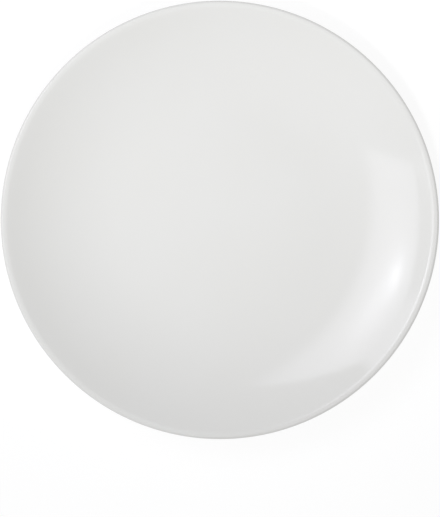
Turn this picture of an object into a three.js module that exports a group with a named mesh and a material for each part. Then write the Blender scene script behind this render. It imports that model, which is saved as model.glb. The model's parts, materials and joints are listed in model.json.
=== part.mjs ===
// Coupe dessert plate: a fired body on a bare foot ring, under two coats of glaze.
// Millimetres, +Z up. The origin is the centre of the foot ring, on the table.

import * as THREE from 'three';

// Driving dimensions of the shell, measured over the glaze
const PLATE_DIAMETER = 210; // over the lip
const PLATE_HEIGHT = 22.4; // from the table to the top of the lip
const WALL_THICKNESS = 4.3; // the same from the floor to the lip
const FLOOR_DIAMETER = 101; // flat middle of the eating face
const RIM_STRAIGHT = 5.4; // straight run of the eating face below the lip
const LIP_SHOULDER_ROUND = 4.6; // eased inner side of the lip, above the eating face
const LIP_EDGE_ROUND = 1.2; // tighter outer side, from the top of the lip to its widest point
const FLOOR_LIFT = 2.2; // from the table to the underside of the floor

// Driving dimensions of the foot ring, measured on the bare body
const FOOT_DIAMETER = 127; // where the outer side meets the table
const FOOT_WIDTH = 4.6; // from that corner to the inner one
const FOOT_OUTER_DRAFT = THREE.MathUtils.degToRad(40); // lean of the outer side from upright
const FOOT_INNER_DRAFT = THREE.MathUtils.degToRad(30); // lean of the inner side from upright
const FOOT_EDGE_ROUND = 0.8; // both edges of the standing face
const FOOT_OUTER_FILLET = 1.5; // root of the outer side, under the wall
const FOOT_INNER_FILLET = 1.2; // root of the inner side, under the floor

// Driving dimensions of the glaze
const GLAZE_THICKNESS = 0.3;
const DRY_FOOT_HEIGHT = 0.7; // band above the table that is wiped clean before firing

// Facets of the round forms
const TURN_STEPS = 64; // around the plate
const SWEEP_STEPS = 8; // up the eating face
const BACK_STEPS = 5; // up the outside of the wall
const LIP_STEPS = 3; // each of the three arcs of the lip
const FOOT_ROUND_STEPS = 3; // each edge and each fillet of the foot
const GLAZE_EDGE_STEPS = 2;

// Directions in the half section, where x is the radius and y is the height
const OUT = 0;
const UP = Math.PI / 2;
const IN = Math.PI;
const DOWN = -Math.PI / 2;

// The eating face runs flat to the sweep, along one arc, then straight to the shoulder of the lip.
// A line that runs beside it, one shoulder radius inside the body, ends in the shoulder's centre.
// An arc between two tangents of equal length gives its slope and its radius in closed form.
const plateRadius = PLATE_DIAMETER / 2;
const floorRadius = FLOOR_DIAMETER / 2;
const floorTop = FLOOR_LIFT + WALL_THICKNESS;
const lipTopRadius = plateRadius - LIP_EDGE_ROUND;
const sweepRun = lipTopRadius - floorRadius;
const sweepRise = PLATE_HEIGHT - floorTop;
const wallSlope = 2 * Math.atan(sweepRise / (sweepRun + RIM_STRAIGHT));
const sweepTangent = sweepRise / Math.sin(wallSlope) - RIM_STRAIGHT;
const sweepRadius = sweepTangent / Math.tan(wallSlope / 2) - LIP_SHOULDER_ROUND;
const sweepCentre = new THREE.Vector2(floorRadius, floorTop + sweepRadius);

// The lip is three arcs that run into each other at its highest and its widest point. The radius of
// the lowest one follows from the other two, so that the wall keeps its thickness up to the lip.
const lipShoulder = new THREE.Vector2(lipTopRadius, PLATE_HEIGHT - LIP_SHOULDER_ROUND);
const lipEdge = new THREE.Vector2(lipTopRadius, PLATE_HEIGHT - LIP_EDGE_ROUND);
const shoulderDepth = LIP_SHOULDER_ROUND * (1 - Math.cos(wallSlope));
const edgeDepth = LIP_EDGE_ROUND * (Math.sin(wallSlope) + Math.cos(wallSlope));
const lipUnderRound = (WALL_THICKNESS - shoulderDepth - edgeDepth) / (1 - Math.sin(wallSlope));
const lipUnder = new THREE.Vector2(plateRadius - lipUnderRound, lipEdge.y);

// The bare body lies one coat below the finished shell on both sides of the wall.
const faceRadius = sweepRadius + GLAZE_THICKNESS;
const backRadius = sweepRadius + WALL_THICKNESS - GLAZE_THICKNESS;
const floorHeight = sweepCentre.y - faceRadius;
const ceilingHeight = sweepCentre.y - backRadius;

// Each side of the foot: the corner on the table, the way up the side, and the way out of the body
const outerSide = {
  corner: new THREE.Vector2(FOOT_DIAMETER / 2, 0),
  up: new THREE.Vector2(Math.sin(FOOT_OUTER_DRAFT), Math.cos(FOOT_OUTER_DRAFT)),
  out: new THREE.Vector2(Math.cos(FOOT_OUTER_DRAFT), -Math.sin(FOOT_OUTER_DRAFT)),
};
const innerSide = {
  corner: new THREE.Vector2(FOOT_DIAMETER / 2 - FOOT_WIDTH, 0),
  up: new THREE.Vector2(-Math.sin(FOOT_INNER_DRAFT), Math.cos(FOOT_INNER_DRAFT)),
  out: new THREE.Vector2(-Math.cos(FOOT_INNER_DRAFT), -Math.sin(FOOT_INNER_DRAFT)),
};

// The point of a foot side that is `height` above the table and `away` out from the body
function besideFoot(side, height, away) {
  const reach = (height - away * side.out.y) / side.up.y;
  return side.corner.clone().addScaledVector(side.up, reach).addScaledVector(side.out, away);
}

// The outer fillet touches the foot's side and the round back of the wall: its centre is where
// a line along the side meets a circle around the sweep, each one fillet radius away.
function outerFilletCentre() {
  const start = outerSide.corner.clone().addScaledVector(outerSide.out, FOOT_OUTER_FILLET);
  const fromSweep = start.clone().sub(sweepCentre);
  const along = fromSweep.dot(outerSide.up);
  const gap = fromSweep.lengthSq() - (backRadius + FOOT_OUTER_FILLET) ** 2;
  const reach = -along - Math.sqrt(along * along - gap);
  return start.addScaledVector(outerSide.up, reach);
}

// A round stretch of the section, walked with the body on the left. A coat of glaze widens one
// that bulges, which turns left, and tightens a hollow one, which turns right.
function bend(centre, bareRadius, from, to, steps, coat = 0) {
  const hollow = to < from;
  const radius = hollow ? bareRadius - coat : bareRadius + coat;
  return new THREE.EllipseCurve(centre.x, centre.y, radius, radius, from, to, hollow).getPoints(steps);
}

// Where a coat ends on a foot side: on the body at the wiped band, and at full thickness above it
function glazeLine(side, coat) {
  const onBody = besideFoot(side, DRY_FOOT_HEIGHT, 0);
  return onBody.addScaledVector(side.up, coat).addScaledVector(side.out, coat);
}

// Underside of the floor, from the axis out to the wiped band inside the foot
function footWell(coat) {
  const filletCentre = besideFoot(innerSide, ceilingHeight - FOOT_INNER_FILLET, FOOT_INNER_FILLET);
  return [
    new THREE.Vector2(0, ceilingHeight - coat),
    ...bend(filletCentre, FOOT_INNER_FILLET, UP, FOOT_INNER_DRAFT, FOOT_ROUND_STEPS, coat),
    glazeLine(innerSide, coat),
  ];
}

// Bare standing ring, from one rounded edge across the flat face to the other
function standingRing() {
  const innerEdge = besideFoot(innerSide, FOOT_EDGE_ROUND, -FOOT_EDGE_ROUND);
  const outerEdge = besideFoot(outerSide, FOOT_EDGE_ROUND, -FOOT_EDGE_ROUND);
  return [
    ...bend(innerEdge, FOOT_EDGE_ROUND, FOOT_INNER_DRAFT - IN, DOWN, FOOT_ROUND_STEPS),
    ...bend(outerEdge, FOOT_EDGE_ROUND, DOWN, -FOOT_OUTER_DRAFT, FOOT_ROUND_STEPS),
  ];
}

// From the wiped band up the back of the wall, round the lip and down the eating face to the axis
function outerShell(coat) {
  const filletCentre = outerFilletCentre();
  const footFacing = IN - FOOT_OUTER_DRAFT;
  const filletToSweep = sweepCentre.clone().sub(filletCentre).angle();
  const backFacing = DOWN + wallSlope;
  const faceFacing = UP + wallSlope;
  return [
    glazeLine(outerSide, coat),
    ...bend(filletCentre, FOOT_OUTER_FILLET, footFacing, filletToSweep, FOOT_ROUND_STEPS, coat),
    ...bend(sweepCentre, backRadius, filletToSweep - IN, backFacing, BACK_STEPS, coat).slice(1),
    ...bend(lipUnder, lipUnderRound - GLAZE_THICKNESS, backFacing, OUT, LIP_STEPS, coat),
    ...bend(lipEdge, LIP_EDGE_ROUND - GLAZE_THICKNESS, OUT, UP, LIP_STEPS, coat).slice(1),
    ...bend(lipShoulder, LIP_SHOULDER_ROUND - GLAZE_THICKNESS, UP, faceFacing, LIP_STEPS, coat).slice(1),
    ...bend(sweepCentre, faceRadius, backFacing, DOWN, SWEEP_STEPS, coat),
    new THREE.Vector2(0, floorHeight + coat),
  ];
}

// Rounded edge of a coat, between its end on the body and its full thickness
function glazeEdge(side) {
  const centre = glazeLine(side, 0).addScaledVector(side.up, GLAZE_THICKNESS);
  const points = [];
  for (let step = 1; step < GLAZE_EDGE_STEPS; step += 1) {
    const turn = (step / GLAZE_EDGE_STEPS) * UP;
    const point = centre.clone().addScaledVector(side.up, -GLAZE_THICKNESS * Math.cos(turn));
    points.push(point.addScaledVector(side.out, GLAZE_THICKNESS * Math.sin(turn)));
  }
  return points;
}

// A closed half section, walked with its solid on the left, is turned about the plate's axis.
function turned(name, section, material) {
  const geometry = new THREE.LatheGeometry(section, TURN_STEPS);
  geometry.rotateX(UP);
  const mesh = new THREE.Mesh(geometry, material);
  mesh.name = name;
  return mesh;
}

const firedBody = new THREE.MeshStandardMaterial({ color: 0xe9e4d8, roughness: 0.75, metalness: 0 });
const whiteGlaze = new THREE.MeshStandardMaterial({ color: 0xf1f1ee, roughness: 0.12, metalness: 0 });
const wellGlaze = whiteGlaze.clone();

const bareWell = footWell(0);
const bareShell = outerShell(0);
const bodySection = [...bareWell, ...standingRing(), ...bareShell];
const shellCoat = [
  ...bareShell.toReversed(),
  ...glazeEdge(outerSide),
  ...outerShell(GLAZE_THICKNESS),
];
const wellCoat = [
  ...footWell(GLAZE_THICKNESS),
  ...glazeEdge(innerSide).toReversed(),
  ...bareWell.toReversed(),
];

const plate = new THREE.Group();
plate.add(turned('plate_body', bodySection, firedBody));
plate.add(turned('outer_glaze', shellCoat, whiteGlaze));
plate.add(turned('foot_well_glaze', wellCoat, wellGlaze));

export default plate;
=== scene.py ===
# %% [markdown]
# # A white coupe dessert plate
#
# A coupe plate has no flat rim: its floor sweeps up in one curve to a plain rounded lip. This one is
# turned from a single clay body that stands on a low foot ring, and it wears two coats of white glaze.
# The ring's standing face is wiped before firing, so the bare body shows there.
#
# The lesson starts from the measured model. It is loaded as a fixed frame, which gives the plate's
# width, its height and the height of its floor. Each of its solids is then dressed with a finer mesh
# and a finish of its own.

# %% Load the measured plate
import json
import math

import bpy
import numpy as np
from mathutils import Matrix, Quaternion, Vector


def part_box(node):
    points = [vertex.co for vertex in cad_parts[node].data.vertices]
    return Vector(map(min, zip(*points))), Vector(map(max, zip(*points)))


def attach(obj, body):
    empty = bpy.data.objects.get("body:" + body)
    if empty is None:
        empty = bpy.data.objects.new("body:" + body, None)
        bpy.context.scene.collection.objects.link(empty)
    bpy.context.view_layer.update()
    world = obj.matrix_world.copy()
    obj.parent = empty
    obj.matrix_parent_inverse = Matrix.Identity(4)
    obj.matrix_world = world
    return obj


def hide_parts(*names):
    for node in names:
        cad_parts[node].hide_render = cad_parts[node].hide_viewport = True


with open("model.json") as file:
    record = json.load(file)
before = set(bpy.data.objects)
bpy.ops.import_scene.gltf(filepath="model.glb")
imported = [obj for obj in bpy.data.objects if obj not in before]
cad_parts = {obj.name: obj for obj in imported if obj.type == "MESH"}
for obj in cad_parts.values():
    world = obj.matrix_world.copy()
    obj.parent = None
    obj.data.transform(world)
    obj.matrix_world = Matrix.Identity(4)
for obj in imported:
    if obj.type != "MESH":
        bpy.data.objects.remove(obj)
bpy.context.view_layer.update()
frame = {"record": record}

MM = 0.001
outer_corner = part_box("outer_glaze")[1]
plate_radius = outer_corner.x
plate_height = outer_corner.z
mounts = {mount["name"]: mount for mount in frame["record"]["mounts"]}
floor_height = mounts["floor_face"]["pos_m"][2]
print(f"plate {2 * plate_radius / MM:.1f} mm across, {plate_height / MM:.1f} mm high")

# %% [markdown]
# ## Camera
#
# The plate is seen from straight above. A circle in a plane parallel to the picture stays a circle
# wherever it lies in the frame, so the camera is slid sideways to place the plate and needs no shift.
# A long lens from about a metre away keeps the lip and the floor at nearly the same scale.

# %% Set up the camera
PHOTO_WIDTH = 440
PHOTO_HEIGHT = 517
PLATE_CENTRE_X_PX = 219.8
PLATE_CENTRE_Y_PX = 219.9
PLATE_RADIUS_PX = 219.3
LENS_MM = 160.0
SENSOR_MM = 36.0
LIP_EDGE = 1.2 * MM

metre_per_px = plate_radius / PLATE_RADIUS_PX
widest_height = plate_height - LIP_EDGE
camera_distance = PHOTO_HEIGHT * metre_per_px * LENS_MM / SENSOR_MM
camera_data = bpy.data.cameras.new("camera")
camera_data.lens = LENS_MM
camera_data.sensor_width = SENSOR_MM
camera = bpy.data.objects.new("camera", camera_data)
camera.location = (
    (PHOTO_WIDTH / 2 - PLATE_CENTRE_X_PX) * metre_per_px,
    (PLATE_CENTRE_Y_PX - PHOTO_HEIGHT / 2) * metre_per_px,
    widest_height + camera_distance,
)
bpy.context.scene.collection.objects.link(camera)
bpy.context.scene.camera = camera
print(f"camera {camera_distance:.3f} m above the lip")

# %% [markdown]
# ## The half section
#
# A potter draws a plate as half a section: one line on one side of the axis. It could be a spline drawn
# by eye, but every round stretch of it is an arc, so each is written as a centre, a radius and two
# directions. The eating face runs flat, along one arc, then straight to the lip. An arc between two
# tangents of equal length gives its slope and radius in closed form, so nothing has to be guessed. The
# lip is three arcs: an eased shoulder inside, a tighter edge outside, and an under side whose radius
# keeps the wall at its thickness.

# %% Sizes of the section
WALL = 4.3 * MM
FLOOR_RADIUS = 50.5 * MM
RIM_STRAIGHT = 5.4 * MM
LIP_SHOULDER = 4.6 * MM
GLAZE = 0.3 * MM

OUT, UP, IN, DOWN = 0, math.pi / 2, math.pi, -math.pi / 2
lip_top = plate_radius - LIP_EDGE
sweep_run = lip_top - FLOOR_RADIUS
sweep_rise = plate_height - floor_height
wall_slope = 2 * math.atan(sweep_rise / (sweep_run + RIM_STRAIGHT))
sweep_tangent = sweep_rise / math.sin(wall_slope) - RIM_STRAIGHT
sweep_radius = sweep_tangent / math.tan(wall_slope / 2) - LIP_SHOULDER
sweep_centre = np.array([FLOOR_RADIUS, floor_height + sweep_radius])
print(f"wall slope {math.degrees(wall_slope):.1f} degrees, sweep radius {sweep_radius / MM:.1f} mm")

shoulder_depth = LIP_SHOULDER * (1 - math.cos(wall_slope))
edge_depth = LIP_EDGE * (math.sin(wall_slope) + math.cos(wall_slope))
lip_under = (WALL - shoulder_depth - edge_depth) / (1 - math.sin(wall_slope))
print(f"lip under side rounded to {lip_under / MM:.1f} mm")

bare_face_radius = sweep_radius + GLAZE
bare_back_radius = sweep_radius + WALL - GLAZE
bare_floor_height = floor_height - GLAZE
ceiling_height = floor_height - WALL + GLAZE

# %% [markdown]
# ## Stretches of the section
#
# Each stretch keeps three things for every point: where it is on the bare body, the way out of the
# body there, and how thick the coat of glaze is. A copy of the line moved out by one distance would
# do for paint, but glaze runs thin over a sharp edge and pools in a hollow corner. So a stretch can
# swell or shrink its coat smoothly towards its middle.

# %% Bent and straight stretches
LIP_STEPS = 20


def stretch(points, out, swell=0.0):
    """Bare points, the way out of the body, and the coat, which swells towards the middle."""
    along = np.linspace(0, 1, len(points))
    coat = GLAZE * (1 + swell * np.sin(math.pi * along) ** 2)
    return np.asarray(points), np.asarray(out), coat


def bend(centre, radius, start, end, steps, swell=0.0):
    """A round stretch. It bulges when it turns left and is hollow when it turns right."""
    angles = np.linspace(start, end, steps + 1)
    spokes = np.stack([np.cos(angles), np.sin(angles)], axis=1)
    out = spokes if end > start else -spokes
    return stretch(centre + radius * spokes, out, swell)


def straight(first, last, facing, steps, even=False):
    """A straight stretch and the way it faces. Its points crowd towards both ends, or lie even."""
    along = np.linspace(0, 1, steps + 1)[:, None]
    if not even:
        along = 0.5 - 0.5 * np.cos(math.pi * along)
    out = np.tile([math.cos(facing), math.sin(facing)], (steps + 1, 1))
    return stretch(np.asarray(first) * (1 - along) + np.asarray(last) * along, out)


def joined(stretches):
    """Stretches end to end, with the points where they meet kept once."""
    trimmed = [stretches[0]] + [tuple(part[1:] for part in piece) for piece in stretches[1:]]
    return tuple(np.concatenate(parts) for parts in zip(*trimmed))


lip_quarter = bend(np.zeros(2), LIP_EDGE, OUT, UP, LIP_STEPS)[0]
print(f"a step round the lip's edge is {np.linalg.norm(lip_quarter[1] - lip_quarter[0]) / MM:.3f} mm")

# %% [markdown]
# ## Sides of the foot
#
# The foot is a low ring whose sides lean, with a fillet where each meets the body. A Bevel modifier
# could round those corners, but against the curved back it wouldn't keep a true radius. A point beside
# the foot is given by its height above the table and its distance out from the body, which is all that
# the fillets and edges need. The outer fillet's centre lies on a line beside the foot and on a circle
# round the sweep's centre, and comes from where the two cross.

# %% Sides and fillets of the foot
FOOT_RADIUS = 63.5 * MM
FOOT_WIDTH = 4.6 * MM
OUTER_DRAFT = math.radians(40)
INNER_DRAFT = math.radians(30)
OUTER_FILLET = 1.5 * MM
INNER_FILLET = 1.2 * MM


def foot_side(corner_radius, facing):
    """The corner on the table, the way up the side and the way out of the body."""
    out = np.array([math.cos(facing), math.sin(facing)])
    up = np.array([-out[1], out[0]]) * (1 if out[0] > 0 else -1)
    return {"corner": np.array([corner_radius, 0.0]), "up": up, "out": out, "facing": facing}


def beside_foot(side, height, away=0.0):
    """The point of a foot side at a height, and away from the body."""
    reach = (height - away * side["out"][1]) / side["up"][1]
    return side["corner"] + reach * side["up"] + away * side["out"]


outer_side = foot_side(FOOT_RADIUS, -OUTER_DRAFT)
inner_side = foot_side(FOOT_RADIUS - FOOT_WIDTH, INNER_DRAFT - IN)
inner_fillet_centre = beside_foot(inner_side, ceiling_height - INNER_FILLET, INNER_FILLET)

fillet_line = outer_side["corner"] + OUTER_FILLET * outer_side["out"]
from_sweep = fillet_line - sweep_centre
along_side = from_sweep @ outer_side["up"]
outside = from_sweep @ from_sweep - (bare_back_radius + OUTER_FILLET) ** 2
fillet_reach = -along_side - math.sqrt(along_side**2 - outside)
outer_fillet_centre = fillet_line + fillet_reach * outer_side["up"]
to_sweep = sweep_centre - outer_fillet_centre
fillet_end = math.atan2(to_sweep[1], to_sweep[0])
print(f"outer fillet at radius {outer_fillet_centre[0] / MM:.1f} mm")

# %% [markdown]
# ## Bare outlines
#
# The body's outline falls into three: the hollow inside the foot, the standing ring, and the shell that
# climbs the back, turns over the lip and comes down the eating face. One list of points could hold it
# all, but both coats start from the first and the last of these, so they lie on the body without a gap.

# %% The hollow and the standing ring
FOOT_EDGE_ROUND = 0.8 * MM
TURNING_STEP = 0.3 * MM
FILLET_POOLING = 0.4
FILLET_STEPS = 8
EDGE_STEPS = 8
SIDE_STEPS = 8
FLAT_STEPS = 16


def bare_well(line_height):
    """Underside of the floor, from the axis out to the glaze line inside the foot."""
    fillet = bend(inner_fillet_centre, INNER_FILLET, UP, INNER_DRAFT, FILLET_STEPS, FILLET_POOLING)
    ceiling_steps = round(fillet[0][0, 0] / TURNING_STEP)
    ceiling = straight((0, ceiling_height), fillet[0][0], DOWN, ceiling_steps, even=True)
    line = beside_foot(inner_side, line_height)
    return joined([ceiling, fillet, straight(fillet[0][-1], line, inner_side["facing"], SIDE_STEPS)])


def bare_ring():
    """Standing ring, from one rounded edge across the ground face to the other."""
    inner_edge = beside_foot(inner_side, FOOT_EDGE_ROUND, -FOOT_EDGE_ROUND)
    outer_edge = beside_foot(outer_side, FOOT_EDGE_ROUND, -FOOT_EDGE_ROUND)
    first = bend(inner_edge, FOOT_EDGE_ROUND, inner_side["facing"], DOWN, EDGE_STEPS)
    last = bend(outer_edge, FOOT_EDGE_ROUND, DOWN, outer_side["facing"], EDGE_STEPS)
    return joined([first, straight(first[0][-1], last[0][0], DOWN, FLAT_STEPS), last])


standing = bare_ring()[0]
standing_width = standing[-1 - EDGE_STEPS, 0] - standing[EDGE_STEPS, 0]
print(f"the plate stands on a ring {standing_width / MM:.1f} mm wide")

# %% [markdown]
# The shell is the longest of the three. Its glaze pools in the fillet at the foot, as the hollow's does,
# and runs thin on the lip's tight outer edge.

# %% The shell
DRY_FOOT = 0.7 * MM
SWEEP_STEPS = 40
LIP_THINNING = -0.40


def bare_lip(back_facing, face_facing):
    """Under side, edge and shoulder of the lip. The glaze runs thin on the edge."""
    under = np.array([plate_radius - lip_under, plate_height - LIP_EDGE])
    edge = np.array([lip_top, plate_height - LIP_EDGE])
    shoulder = np.array([lip_top, plate_height - LIP_SHOULDER])
    return joined([
        bend(under, lip_under - GLAZE, back_facing, OUT, LIP_STEPS),
        bend(edge, LIP_EDGE - GLAZE, OUT, UP, LIP_STEPS, LIP_THINNING),
        bend(shoulder, LIP_SHOULDER - GLAZE, UP, face_facing, LIP_STEPS),
    ])


def bare_shell(line_height):
    """From the glaze line up the back, over the lip and down the eating face to the axis."""
    back_facing = DOWN + wall_slope
    face_facing = UP + wall_slope
    foot_facing = outer_side["facing"] + IN
    fillet = bend(outer_fillet_centre, OUTER_FILLET, foot_facing, fillet_end, FILLET_STEPS, FILLET_POOLING)
    back = bend(sweep_centre, bare_back_radius, fillet_end - IN, back_facing, SWEEP_STEPS)
    lip = bare_lip(back_facing, face_facing)
    face = bend(sweep_centre, bare_face_radius, back_facing, DOWN, SWEEP_STEPS)
    line = beside_foot(outer_side, line_height)
    return joined([
        straight(line, fillet[0][0], outer_side["facing"], SIDE_STEPS),
        fillet,
        back,
        straight(back[0][-1], lip[0][0], back_facing, SIDE_STEPS),
        lip,
        straight(lip[0][-1], face[0][0], face_facing, SIDE_STEPS),
        face,
        straight(face[0][-1], (0, bare_floor_height), UP, FLAT_STEPS),
    ])


print(f"{len(bare_shell(DRY_FOOT)[0])} points up the shell, {len(bare_well(DRY_FOOT)[0])} in the foot well")

# %% [markdown]
# ## Turning the section
#
# A lathe sweeps the section round the axis. Blender's Screw modifier would do that for one fixed line,
# but a fired plate isn't perfectly round: its rim sags and draws in by about a tenth of a millimetre in
# the kiln, more on some sides than on others, and the glaze line wanders. So the section is asked for
# again at every angle, and the mesh is joined up from those lines.

# %% What the kiln does
TURN_STEPS = 192
RIM_SAG = 0.05 * MM
SAG_TURN = 0.6
SAG_THIRD = 0.5
RIM_DRAW = 0.04 * MM
DRAW_TURN = 1.9

turn_angles = [2 * math.pi * step / TURN_STEPS for step in range(TURN_STEPS)]


def fired(section, angle):
    """A section as it leaves the kiln: beyond the foot, the wall sags and draws in unevenly."""
    share = np.clip((section[:, 0] - FOOT_RADIUS) / (plate_radius - FOOT_RADIUS), 0, 1) ** 2
    sag = 1 + SAG_THIRD - math.cos(2 * angle + SAG_TURN) - SAG_THIRD * math.cos(3 * angle)
    moved = section.copy()
    moved[:, 0] -= share * RIM_DRAW * (1 - math.cos(2 * angle + DRAW_TURN))
    moved[:, 1] -= share * RIM_SAG * sag
    return moved


rim = np.array([[plate_radius, plate_height]])
rim_heights = [fired(rim, angle)[0, 1] for angle in turn_angles]
print(f"the fired rim stands {min(rim_heights) / MM:.2f} to {max(rim_heights) / MM:.2f} mm high")

# %% [markdown]
# Every section runs from the axis out and back to the axis, so the swept shape is closed. A point on
# the axis becomes one shared vertex with a fan of triangles. The faces are smooth, apart from the edges
# that are sharp on the real plate, where glaze ends against bare clay.

# %% The lathe
ON_AXIS = 1e-6 * MM
SHARP_ANGLE = math.radians(45)


def lathe(sections):
    """Vertices and faces of the shape that the sections sweep, one section for each angle."""
    count = len(sections[0])
    on_axis = sections[0][:, 0] < ON_AXIS
    vertices = []
    index = np.zeros((TURN_STEPS, count), int)
    for point in range(count):
        for step, angle in enumerate(turn_angles):
            if step == 0 or not on_axis[point]:
                radius, height = sections[step][point]
                vertices.append((radius * math.cos(angle), radius * math.sin(angle), height))
            index[step, point] = len(vertices) - 1
    faces = []
    for step in range(TURN_STEPS):
        here, ahead = index[step], index[(step + 1) % TURN_STEPS]
        for point in range(count - 1):
            corners = (here[point], ahead[point], ahead[point + 1], here[point + 1])
            faces.append(list(dict.fromkeys(int(corner) for corner in corners)))
    return vertices, faces


def turn(name, section_at, material):
    """A piece turned from the section that section_at gives for each angle."""
    vertices, faces = lathe([fired(section_at(angle), angle) for angle in turn_angles])
    mesh = bpy.data.meshes.new(name)
    mesh.from_pydata(vertices, [], faces)
    mesh.shade_smooth()
    mesh.set_sharp_from_angle(angle=SHARP_ANGLE)
    mesh.materials.append(material)
    piece = bpy.data.objects.new(name, mesh)
    bpy.context.scene.collection.objects.link(piece)
    print(f"{name}: {len(vertices)} vertices, {len(faces)} faces")
    return piece


print(f"a step of the lathe is {plate_radius * turn_angles[1] / MM:.1f} mm long at the lip")

# %% [markdown]
# ## Shader maths as Python
#
# A finish is a formula over the surface. Nodes spell it out one sum at a time, which is hard to read, so
# this small class wraps a socket and lets Python's own operators add the Math nodes. Every other node
# comes from the one method that takes its type, its settings and what goes into its sockets.

# %% The wire class
class Wire:
    """One socket of a node tree. Sums on wires become Math nodes in the tree."""

    def __init__(self, tree, socket=None):
        self.tree = tree
        self.socket = socket

    def node(self, kind, settings, sockets, output=0):
        """Adds a node, sets it up, fills its sockets by value or link, and wraps one output."""
        made = self.tree.nodes.new(kind)
        for name, value in settings.items():
            setattr(made, name, value)
        for name, value in sockets.items():
            if isinstance(value, Wire):
                self.tree.links.new(value.socket, made.inputs[name])
            else:
                made.inputs[name].default_value = value
        return Wire(self.tree, made.outputs[output] if made.outputs else None)

    def outputs(self, *names):
        """Wires for several outputs of the node that this wire comes from."""
        return [Wire(self.tree, self.socket.node.outputs[name]) for name in names]

    def math(self, operation, *values):
        """Adds a Math node that works on one or two values."""
        return self.node("ShaderNodeMath", {"operation": operation}, dict(enumerate(values)))

    def __add__(self, other):
        return self.math("ADD", self, other)

    def __sub__(self, other):
        return self.math("SUBTRACT", self, other)

    def __rsub__(self, other):
        return self.math("SUBTRACT", other, self)

    def __mul__(self, other):
        return self.math("MULTIPLY", self, other)

    def __truediv__(self, other):
        return self.math("DIVIDE", self, other)

    def __rtruediv__(self, other):
        return self.math("DIVIDE", other, self)

    def __pow__(self, other):
        return self.math("POWER", self, other)

    def __rpow__(self, other):
        return self.math("POWER", other, self)

    __radd__ = __add__
    __rmul__ = __mul__


print("wires add, subtract, multiply, divide and raise to a power")

# %% [markdown]
# ## Nodes that the finishes share
#
# Real surfaces vary softly, so the finishes are mixed from a few steps: random clouds, a smooth step
# between two levels, one colour turning into another, and a relief too fine to model. Each could be
# spelled out where it is used, but as a named helper it says what it is for. Places are in metres on the
# object, so that a size in a finish is a size on the plate.

# %% Helpers for the finishes
MIX_SHARE, MIX_FIRST, MIX_SECOND, MIX_COLOUR = 0, 6, 7, 2


def new_finish(name):
    """A material with an empty tree, and a wire that carries the place on the object in metres."""
    material = bpy.data.materials.new(name)
    material.use_nodes = True
    material.node_tree.nodes.clear()
    place = Wire(material.node_tree).node("ShaderNodeTexCoord", {}, {}, "Object")
    return material, place


def noise(place, size, detail=2.0):
    """Soft random clouds of about the given size in metres, from 0 to 1."""
    sockets = {"Vector": place, "Scale": 1 / size, "Detail": detail}
    return place.node("ShaderNodeTexNoise", {}, sockets, "Fac")


def ramp(value, low, high):
    """0 below low and 1 above high, with a smooth step between; high may be the smaller one."""
    settings = {"interpolation_type": "SMOOTHSTEP"}
    return value.node("ShaderNodeMapRange", settings, {"Value": value, "From Min": low, "From Max": high})


def blend(share, first, second):
    """One colour turning into another. A Mix node repeats its socket names, so they go by number."""
    sockets = {MIX_SHARE: share, MIX_FIRST: first, MIX_SECOND: second}
    return share.node("ShaderNodeMix", {"data_type": "RGBA"}, sockets, MIX_COLOUR)


def relief(place, height, depth):
    """A normal from a height of 0 to 1 that stands for depth metres."""
    return place.node("ShaderNodeBump", {}, {"Height": height, "Distance": depth}, "Normal")


print("helpers for clouds, steps, colours and relief are ready")

# %% [markdown]
# ## White glaze
#
# Glaze is glass, so it is glossy, and its white comes from what floats in it. One flat colour would look
# like plastic. Up close glaze clouds faintly, a rare speck of iron sits in it, and its skin has the
# shallow ripple of something that melted. The ripple is a hundredth of a millimetre deep and shows only
# in the reflections, so it is a bump and needs no mesh.

# %% Mix the white glaze
GLAZE_WHITE = (0.80, 0.80, 0.777, 1)
GLAZE_CLOUD = (0.796, 0.795, 0.770, 1)
SPECK_BROWN = (0.46, 0.40, 0.32, 1)
CLOUD_SIZE = 45 * MM
CLOUD_LOW, CLOUD_HIGH = 0.35, 0.65
SPECK_CELL = 14 * MM
SPECK_RADIUS = 0.16 * MM
SPECK_CORE = 0.4 * SPECK_RADIUS
SPECK_STRENGTH = 0.5
RIPPLE_SIZE = 7 * MM
RIPPLE_DEPTH = 0.012 * MM
GLAZE_ROUGHNESS = 0.07
GLAZE_UNEVENNESS = 0.04
UNEVEN_DETAIL = 3.0
GLAZE_IOR = 1.52


def white_glaze():
    """The glossy white of both coats, with faint clouds, rare specks and a shallow ripple."""
    material, place = new_finish("white_glaze")
    cells = place.node("ShaderNodeTexVoronoi", {}, {"Vector": place, "Scale": 1 / SPECK_CELL}, "Distance")
    speck = ramp(cells, SPECK_RADIUS / SPECK_CELL, SPECK_CORE / SPECK_CELL)
    clouds = ramp(noise(place, CLOUD_SIZE), CLOUD_LOW, CLOUD_HIGH)
    white = blend(clouds, GLAZE_WHITE, GLAZE_CLOUD)
    coat = place.node("ShaderNodeBsdfPrincipled", {}, {
        "Base Color": blend(speck * SPECK_STRENGTH, white, SPECK_BROWN),
        "Roughness": GLAZE_ROUGHNESS + GLAZE_UNEVENNESS * noise(place, RIPPLE_SIZE, UNEVEN_DETAIL),
        "Normal": relief(place, noise(place, RIPPLE_SIZE), RIPPLE_DEPTH),
        "IOR": GLAZE_IOR,
    })
    coat.node("ShaderNodeOutputMaterial", {}, {"Surface": coat})
    return material


glaze_finish = white_glaze()
print(f"{glaze_finish.name}: {len(glaze_finish.node_tree.nodes)} nodes")

# %% [markdown]
# ## Bare fired body
#
# The standing ring is the only place where the body shows. It is matte and a little warmer than the
# glaze, with fine grain, and it is ground flat after firing, which leaves fine rings in it. Next to the
# glaze line it is toasted a shade darker, where the glaze drew salts out of the clay. The rings follow
# from the distance to the axis and the toast from the height above the table, so neither needs a
# painted mask.

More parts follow.
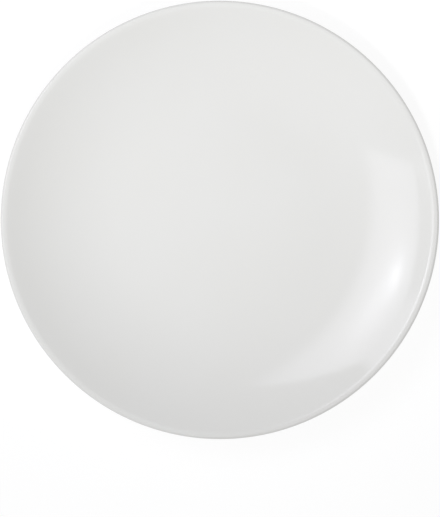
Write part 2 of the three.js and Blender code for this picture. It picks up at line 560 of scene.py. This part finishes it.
# %% Mix the bare body
BODY_PALE = (0.79, 0.76, 0.69, 1)
BODY_WARM = (0.72, 0.675, 0.59, 1)
BODY_TOAST = (0.62, 0.53, 0.41, 1)
GRAIN_SIZE = 0.5 * MM
GRAIN_DETAIL = 4.0
GRAIN_WARMTH = 0.6
GRIND_PITCH = 0.45 * MM
GRIND_DEPTH = 0.006 * MM
GRIND_DRIFT_SIZE = 6 * MM
GRIND_DRIFT_PITCHES = 2
GRIND_WARMTH = 0.3
GROUND_FULL, GROUND_NONE = 0.05 * MM, 0.25 * MM
TOAST_NONE, TOAST_FULL = 0.35 * MM, 0.8 * MM
TOAST_STRENGTH = 0.55
BODY_ROUGHNESS = 0.62
BODY_UNEVENNESS = 0.2
GROOVE_RELIEF, GRAIN_RELIEF = 0.6, 0.4


def bare_body():
    """The matte clay of the standing ring: grain, grinding rings and a toasted edge."""
    material, place = new_finish("bare_body")
    x, y, z = place.node("ShaderNodeSeparateXYZ", {}, {"Vector": place}).outputs("X", "Y", "Z")
    radius = (x * x + y * y) ** 0.5
    grain = noise(place, GRAIN_SIZE, GRAIN_DETAIL)
    drift = noise(place, GRIND_DRIFT_SIZE) * GRIND_DRIFT_PITCHES
    rings = (radius / GRIND_PITCH + drift) * (2 * math.pi)
    groove = rings.math("SINE", rings) * 0.5 + 0.5
    ground = ramp(z, GROUND_NONE, GROUND_FULL)
    toast = ramp(z, TOAST_NONE, TOAST_FULL)
    clay = blend(grain * GRAIN_WARMTH + groove * ground * GRIND_WARMTH, BODY_PALE, BODY_WARM)
    height = groove * ground * GROOVE_RELIEF + grain * GRAIN_RELIEF
    bare = place.node("ShaderNodeBsdfPrincipled", {}, {
        "Base Color": blend(toast * TOAST_STRENGTH, clay, BODY_TOAST),
        "Roughness": BODY_ROUGHNESS + BODY_UNEVENNESS * grain,
        "Normal": relief(place, height, GRIND_DEPTH),
    })
    bare.node("ShaderNodeOutputMaterial", {}, {"Surface": bare})
    return material


body_finish = bare_body()
print(f"{body_finish.name}: {len(body_finish.node_tree.nodes)} nodes")

# %% [markdown]
# ## Fired body
#
# The body is one closed turning of the whole bare outline. Only its standing ring shows, so a ring alone
# would do for a picture, but the piece is whole: it can be lifted out of its glaze and still be a plate.

# %% Turn the body
well_points = bare_well(DRY_FOOT)[0]
ring_points = bare_ring()[0]
shell_points = bare_shell(DRY_FOOT)[0]
body_section = np.concatenate([well_points, ring_points, shell_points])
body = turn("fired_body", lambda angle: body_section, body_finish)
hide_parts("plate_body")
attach(body, "root")

# %% [markdown]
# ## The two coats
#
# Glaze is poured or dipped on and melts to a thin skin. Blender's Solidify modifier could thicken a copy
# of the body, but it would give an even skin with a square end. Here a coat is the room between the bare
# outline and the same outline moved out by the coat's own thickness at each point. Where it was wiped it
# ends in a small rounded bead. A sponge never wipes a true circle, so the glaze line rises and falls by
# up to a tenth of a millimetre on its way round the foot.

# %% Edges of the coats
BEAD_STEPS = 5
LINE_WANDER = 0.10 * MM
# Each wave of the line: its count per turn, its height, and how much of a coat's own lead it takes
LINE_WAVES = ((5, 1.0, 1), (11, 0.6, 2), (23, 0.4, 0))


def glaze_line(angle, lead=0.0):
    """Height of the wiped edge, which wanders as the sponge did."""
    waves = sum(high * math.sin(count * angle + share * lead) for count, high, share in LINE_WAVES)
    return DRY_FOOT + LINE_WANDER * waves / sum(high for count, high, share in LINE_WAVES)


def bead(side, line, coat):
    """Rounded edge of a coat, from the body out to its full thickness."""
    quarter = np.linspace(0, UP, BEAD_STEPS + 1)[1:-1, None]
    return line + coat * (1 - np.cos(quarter)) * side["up"] + coat * np.sin(quarter) * side["out"]


outer_line = [glaze_line(angle) for angle in turn_angles]
print(f"the outer glaze line is {min(outer_line) / MM:.2f} to {max(outer_line) / MM:.2f} mm high")

# %% [markdown]
# The outer coat is the one that is seen and eaten from. It covers the whole shell, from the wiped band
# on the foot over the lip to the middle of the floor.

# %% Turn the outer coat
def shell_coat(angle):
    """Section of the coat on the outside of the plate."""
    bare, out, coat = bare_shell(glaze_line(angle))
    finished = bare + out * coat[:, None]
    finished[0] += coat[0] * outer_side["up"]
    return np.concatenate([bare[::-1], bead(outer_side, bare[0], coat[0]), finished])


shell = turn("outer_glaze_coat", shell_coat, glaze_finish)
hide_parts("outer_glaze")
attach(shell, "root")

# %% [markdown]
# The coat inside the foot is only seen when the plate is turned over. The turning tool leaves faint rings
# under a floor, and the glaze softens them but doesn't hide them, so they are in its mesh: their shading
# follows the light from any side, which a painted ring wouldn't.

# %% Turn the coat inside the foot
WELL_LINE_LEAD = 1.3
RING_PITCH = 2.6 * MM
RING_DEPTH = 0.010 * MM


def well_coat(angle):
    """Section of the coat inside the foot, with the faint rings of the turning tool."""
    bare, out, coat = bare_well(glaze_line(angle, WELL_LINE_LEAD))
    fade = np.clip(1 - bare[:, 0] / inner_fillet_centre[0], 0, 1)
    coat = coat + RING_DEPTH * fade * np.cos(2 * math.pi * bare[:, 0] / RING_PITCH)
    finished = bare + out * coat[:, None]
    finished[-1] += coat[-1] * inner_side["up"]
    return np.concatenate([finished, bead(inner_side, bare[-1], coat[-1])[::-1], bare[::-1]])


well = turn("foot_well_glaze_coat", well_coat, glaze_finish)
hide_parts("foot_well_glaze")
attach(well, "root")

# %% [markdown]
# ## White table
#
# The plate lies on white. Lighting a table until it burns out would burn the plate too, so what the
# camera and the reflections see of the table is partly its own glow, just enough to reach white, and
# partly a matte surface that still takes the plate's shadow. Further off it fades into the white room,
# so no horizon shows. Light that bounces up to the plate meets a plain white cloth that glows a little:
# it is darker under the plate, which shades the foot. Seen from below the table is clear.

# %% Mix the table's finish
TABLE_GLOW = 0.86
TABLE_MATTE = (0.18, 0.18, 0.18, 1)
CLOTH_GLOW = 0.40
CLOTH_WHITE = (0.40, 0.40, 0.40, 1)
FADE_START = 0.25
FADE_END = 0.80


def sight(start):
    """1 for rays from the camera, from a reflection or through glass, and 0 for the rest."""
    path = start.node("ShaderNodeLightPath", {}, {})
    rays = path.outputs("Is Camera Ray", "Is Glossy Ray", "Is Transmission Ray")
    return start.math("MINIMUM", rays[0] + rays[1] + rays[2], 1.0)


def glowing_matte(start, glow, colour):
    """A matte surface with a glow of its own."""
    light = start.node("ShaderNodeEmission", {}, {"Strength": glow})
    matte = start.node("ShaderNodeBsdfDiffuse", {}, {"Color": colour})
    return start.node("ShaderNodeAddShader", {}, {0: light, 1: matte})


def table_finish():
    """White to the eye, a soft cloth to the light, clear from below. It isn't sampled as a lamp."""
    material, place = new_finish("white_table")
    material.cycles.emission_sampling = "NONE"
    away = place.node("ShaderNodeVectorMath", {"operation": "LENGTH"}, {0: place}, "Value")
    white = place.node("ShaderNodeEmission", {}, {"Strength": 1.0})
    near = glowing_matte(place, TABLE_GLOW, TABLE_MATTE)
    far = ramp(away, FADE_START, FADE_END)
    seen = place.node("ShaderNodeMixShader", {}, {0: far, 1: near, 2: white})
    cloth = glowing_matte(place, CLOTH_GLOW, CLOTH_WHITE)
    lit = place.node("ShaderNodeMixShader", {}, {0: sight(place), 1: cloth, 2: seen})
    below = place.node("ShaderNodeNewGeometry", {}, {}, "Backfacing")
    clear = place.node("ShaderNodeBsdfTransparent", {}, {})
    surface = place.node("ShaderNodeMixShader", {}, {0: below, 1: lit, 2: clear})
    surface.node("ShaderNodeOutputMaterial", {}, {"Surface": surface})
    return material


table_white = table_finish()
print(f"{table_white.name}: {len(table_white.node_tree.nodes)} nodes")

# %% [markdown]
# The table is one large square. It lies a hair below the standing ring, so that the two don't flicker
# through each other. It isn't part of the plate.

# %% Lay the table
TABLE_HALF = 4.0
TABLE_DROP = 0.2 * MM

table_mesh = bpy.data.meshes.new("table")
corners = [(-1, -1), (1, -1), (1, 1), (-1, 1)]
table_points = [(TABLE_HALF * x, TABLE_HALF * y, -TABLE_DROP) for x, y in corners]
table_mesh.from_pydata(table_points, [], [(0, 1, 2, 3)])
table_mesh.materials.append(table_white)
table = bpy.data.objects.new("table", table_mesh)
bpy.context.scene.collection.objects.link(table)
print(f"table {2 * TABLE_HALF:.0f} m square")

# %% [markdown]
# ## White room
#
# A product table stands in a white tent, whose walls light the plate softly from all sides. Walls of
# mesh would need lamps of their own, so the room is the world itself. As with the table, the eye and the
# reflections meet pure white, and what lights the plate is dimmer, so that its colour renders about as
# it is written.

# %% Light the room
ROOM_LIGHT = 0.4672
WHITE = (1, 1, 1, 1)


def white_room():
    """A world that is white to the eye and in reflections, and dimmer where it lights the plate."""
    world = bpy.data.worlds.new("white_room")
    world.use_nodes = True
    world.node_tree.nodes.clear()
    start = Wire(world.node_tree)
    soft = start.node("ShaderNodeBackground", {}, {"Color": WHITE, "Strength": ROOM_LIGHT})
    seen = start.node("ShaderNodeBackground", {}, {"Color": WHITE, "Strength": 1.0})
    room = start.node("ShaderNodeMixShader", {}, {0: sight(start), 1: soft, 2: seen})
    room.node("ShaderNodeOutputWorld", {}, {"Surface": room})
    return world


bpy.context.scene.world = white_room()
bpy.context.scene.view_settings.view_transform = "Standard"
print(f"the room lights the plate with {ROOM_LIGHT:.2f} of white")

# %% [markdown]
# ## Softbox
#
# A softbox is a lamp behind a sheet of cloth. It stands on the left, and its mirror image is the long
# highlight on the right wall. A plain area lamp would give that highlight one even tone. The real cloth
# is brighter in front of the tube and brightest in front of the bulb's core, and two flags, black cards
# that hang askew, cut it off at its left end and fade it towards its top. So the lamp's own nodes say how
# bright it is at each place on the cloth. Its power follows its area, so that a wider cloth is as bright.

# %% Make the softbox
SOFTBOX_WIDTH = 0.953
SOFTBOX_HEIGHT = 0.71
SOFTBOX_TINT = (0.925, 0.925, 1.0)
SOFTBOX_CLOTH = 1.08
TUBE_GLOW = 2.42
TUBE_MIDDLE = (-0.103, -0.080)
TUBE_REACH = (0.183, 0.134)
CORE_GLOW = 5.5
CORE_MIDDLE = (0.014, -0.187)
CORE_REACH = (0.050, 0.050)
LEFT_FLAG_LEAN = 0.245
LEFT_FLAG_DARK, LEFT_FLAG_LIT = -0.421, -0.397
TOP_FLAG_LEAN = 0.184
TOP_FLAG_DARK, TOP_FLAG_LIT = 0.343, 0.113


def glow(x, y, middle, reach):
    """1 in the middle, and half of that at its reach to either side."""
    return 1 / (1 + ((x - middle[0]) / reach[0]) ** 2 + ((y - middle[1]) / reach[1]) ** 2)


def softbox_lamp():
    """A softbox whose cloth shines evenly, and brighter in front of its tube and its core."""
    data = bpy.data.lights.new("softbox", "AREA")
    data.shape = "RECTANGLE"
    data.size = SOFTBOX_WIDTH
    data.size_y = SOFTBOX_HEIGHT
    data.energy = math.pi * SOFTBOX_WIDTH * SOFTBOX_HEIGHT
    data.color = SOFTBOX_TINT
    data.use_nodes = True
    data.node_tree.nodes.clear()
    cloth = Wire(data.node_tree).node("ShaderNodeNewGeometry", {}, {}, "Parametric")
    along, across = cloth.node("ShaderNodeSeparateXYZ", {}, {"Vector": cloth}).outputs("X", "Y")
    x = (along - 0.5) * SOFTBOX_WIDTH
    y = (across - 0.5) * SOFTBOX_HEIGHT
    tube = TUBE_GLOW * glow(x, y, TUBE_MIDDLE, TUBE_REACH)
    core = CORE_GLOW * glow(x, y, CORE_MIDDLE, CORE_REACH)
    left_flag = ramp(x + LEFT_FLAG_LEAN * y, LEFT_FLAG_DARK, LEFT_FLAG_LIT)
    top_flag = ramp(y + TOP_FLAG_LEAN * x, TOP_FLAG_DARK, TOP_FLAG_LIT)
    shine = (SOFTBOX_CLOTH + tube + core) * left_flag * top_flag
    light = shine.node("ShaderNodeEmission", {}, {"Color": shine, "Strength": 1.0})
    light.node("ShaderNodeOutputLight", {}, {"Surface": light})
    return data


softbox_data = softbox_lamp()
print(f"softbox of {softbox_data.energy:.1f} W, {len(softbox_data.node_tree.nodes)} nodes")

# %% [markdown]
# The softbox hangs high on the left and looks across the plate, rolled a little on its stand. A lamp
# shines along its own downward axis, so that axis is turned from its place towards its target. The camera
# doesn't see the lamp itself, only its light and its mirror image.

# %% Hang the softbox
SOFTBOX_PLACE = (-0.471, 0.212, 0.871)
SOFTBOX_TARGET = (0.543, -0.268, 0.035)
SOFTBOX_ROLL = math.radians(13.6)


def hang(name, data, place, target, roll=0.0):
    """Places a lamp at one point, looking at another, out of the camera's sight."""
    lamp = bpy.data.objects.new(name, data)
    lamp.location = place
    facing = (Vector(target) - Vector(place)).to_track_quat("-Z", "Y")
    lamp.rotation_euler = (facing @ Quaternion((0, 0, 1), roll)).to_euler()
    lamp.visible_camera = False
    bpy.context.scene.collection.objects.link(lamp)
    return lamp


softbox = hang("softbox", softbox_data, SOFTBOX_PLACE, SOFTBOX_TARGET, SOFTBOX_ROLL)
print(f"{softbox.name} {softbox.location.length:.2f} m from the plate")

# %% [markdown]
# ## Spot from the front
#
# The wall nearest the front is a shade darker than the floor. A darker room would shade it too, but it
# would dull the whole back of the plate. Instead a spot from the front is aimed past the middle, and the
# soft edge of its beam fades over the near wall. The spot is left out of the reflections, where it would
# show as a second, hard highlight.

# %% Hang the spot
SPOT_PLACE = (-0.070, -0.330, 0.938)
SPOT_TARGET = (0, 0.115, 0)
SPOT_BEAM_RADIUS = 0.29
SPOT_WATTS = 13.5
SPOT_BULB = 0.06

spot_reach = (Vector(SPOT_TARGET) - Vector(SPOT_PLACE)).length
spot_data = bpy.data.lights.new("front_spot", "SPOT")
spot_data.energy = SPOT_WATTS
spot_data.shadow_soft_size = SPOT_BULB
spot_data.spot_size = 2 * math.atan(SPOT_BEAM_RADIUS / spot_reach)
spot_data.spot_blend = 1.0
spot = hang("front_spot", spot_data, SPOT_PLACE, SPOT_TARGET)
spot.visible_glossy = False
print(f"spot beam {math.degrees(spot_data.spot_size):.0f} degrees wide")
